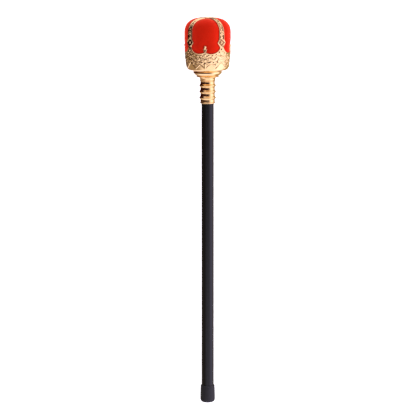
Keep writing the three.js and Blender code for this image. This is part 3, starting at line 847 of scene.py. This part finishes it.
points, faces = lathe(collar_profile(), STICK_COLUMNS)
add_piece("gold_collar", points, faces, "ribbed_collar",
          gold("gold_collar", (0.92, 0.60, 0.26), GOLD_PAINTED_SHADE), 35)

points, faces = lathe(shaft_profile(), STICK_COLUMNS)
add_piece("shaft_tube", points, faces, "shaft", black_plastic(), 35)

points, faces = lathe(ferrule_profile(), STICK_COLUMNS)
add_piece("rubber_tip", points, faces, "ferrule", rubber(), 35)


# ------------------------------------------------------------------ floor, light and camera
def add_stage():
    """A wide pale floor, and a pale backdrop round it that only the camera sees."""
    half, backdrop_radius = 6.0, 10.0
    mesh = bpy.data.meshes.new("floor")
    corners = [(-half, -half, 0), (half, -half, 0), (half, half, 0), (-half, half, 0)]
    mesh.from_pydata(corners, [], [[0, 1, 2, 3]])
    mesh.materials.append(pale_floor())
    floor = bpy.data.objects.new("floor", mesh)
    bpy.context.scene.collection.objects.link(floor)
    floor.visible_glossy = False
    bpy.ops.mesh.primitive_uv_sphere_add(segments=48, ring_count=24, radius=backdrop_radius)
    backdrop = bpy.context.object
    backdrop.name = "backdrop"
    backdrop.data.materials.append(pale_floor())
    backdrop.visible_glossy = backdrop.visible_diffuse = False
    backdrop.visible_shadow = backdrop.visible_transmission = False


def math_node(tree, operation, first, second=0.0):
    """One sum of two sockets or numbers."""
    node = tree.nodes.new("ShaderNodeMath")
    node.operation = operation
    for socket, value in zip(node.inputs, (first, second)):
        if isinstance(value, (int, float)):
            socket.default_value = value
        else:
            link(tree, value, socket)
    return node.outputs[0]


def along(tree, direction):
    """The sky direction's component along a direction."""
    place = tree.nodes.new("ShaderNodeTexCoord")
    dot = tree.nodes.new("ShaderNodeVectorMath")
    dot.operation = "DOT_PRODUCT"
    link(tree, place.outputs["Generated"], dot.inputs[0])
    dot.inputs[1].default_value = tuple(float(c) for c in direction)
    return dot.outputs["Value"]


def ramp(tree, value, start, end):
    """Rises softly from 0 at start to 1 at end, both in degrees. Falls where end is the lower."""
    node = tree.nodes.new("ShaderNodeMapRange")
    node.interpolation_type = "SMOOTHSTEP"
    low, high = min(start, end), max(start, end)
    node.inputs["From Min"].default_value = math.radians(low)
    node.inputs["From Max"].default_value = math.radians(high)
    node.inputs["To Min"].default_value = 0.0 if end > start else 1.0
    node.inputs["To Max"].default_value = 1.0 if end > start else 0.0
    link(tree, value, node.inputs["Value"])
    return node.outputs["Result"]


def add_world():
    """A soft studio by direction: turn is the angle about the sceptre's axis from straight up
    towards its right, and tilt is the rise from square to the axis towards its head."""
    world = bpy.data.worlds.new("studio")
    bpy.context.scene.world = world
    world.use_nodes = True
    tree = world.node_tree
    turn = math_node(tree, "ARCTAN2", along(tree, RIGHT), along(tree, OUT))
    tilt = math_node(tree, "ARCSINE", along(tree, AXIS))

    def band_of(value, edges):
        """1 between the inner two of four edges in degrees, 0 beyond the outer two."""
        rise, fall = ramp(tree, value, *edges[:2]), ramp(tree, value, *edges[2:])
        return math_node(tree, "MULTIPLY", rise, fall)

    def panel(light, colour, turn_edges, tilt_edges):
        """Lays one panel or dark flag of the studio over the light so far."""
        cover = math_node(tree, "MULTIPLY", band_of(turn, turn_edges), band_of(tilt, tilt_edges))
        return blend_colours(tree, cover, light, colour)

    room, soft_box = (1.30, 1.22, 1.50), (1.8, 1.62, 2.2)
    warm_wall, left_wall, dark_flag = (0.55, 0.45, 0.30), (0.40, 0.31, 0.25), (0.030, 0.002, 0.0004)
    head_card = (1.10, 0.92, 1.15)
    light = panel(room, soft_box, (25, 60, 120, 85), (-80, -45, 60, 30))
    light = panel(light, warm_wall, (95, 120, 178, 160), (-75, -45, 75, 45))
    light = panel(light, left_wall, (-178, -150, -12, -62), (-60, -35, 60, 30))
    light = panel(light, dark_flag, (-172, -150, 60, 8), (-10.3, -7.4, 62, 45))
    light = panel(light, head_card, (-64, -52, -26, -38), (16, 26, 60, 50))
    back = tree.nodes["Background"]
    link(tree, light, back.inputs["Color"])
    back.inputs["Strength"].default_value = 1.0


def add_camera():
    """Looks down on the lying sceptre from its head's side of square, head at the top."""
    camera = bpy.data.cameras.new("camera")
    camera.sensor_width = 36.0
    camera.lens = 229.9
    lean = math.radians(9.0)
    distance = 3.652
    middle, aside = 267.2 * MM, 3.2 * MM  # the point looked at, up the axis and to its right
    back = OUT * math.cos(lean) + AXIS * math.sin(lean)
    up = AXIS * math.cos(lean) - OUT * math.sin(lean)
    place = TIP + AXIS * middle + RIGHT * aside + back * distance
    holder = bpy.data.objects.new("camera", camera)
    bpy.context.scene.collection.objects.link(holder)
    turn = Matrix([RIGHT, up, back]).transposed().to_4x4()
    holder.matrix_world = Matrix.Translation(place) @ turn
    bpy.context.scene.camera = holder


add_stage()
add_world()
add_camera()
bpy.context.scene.view_settings.view_transform = "Standard"
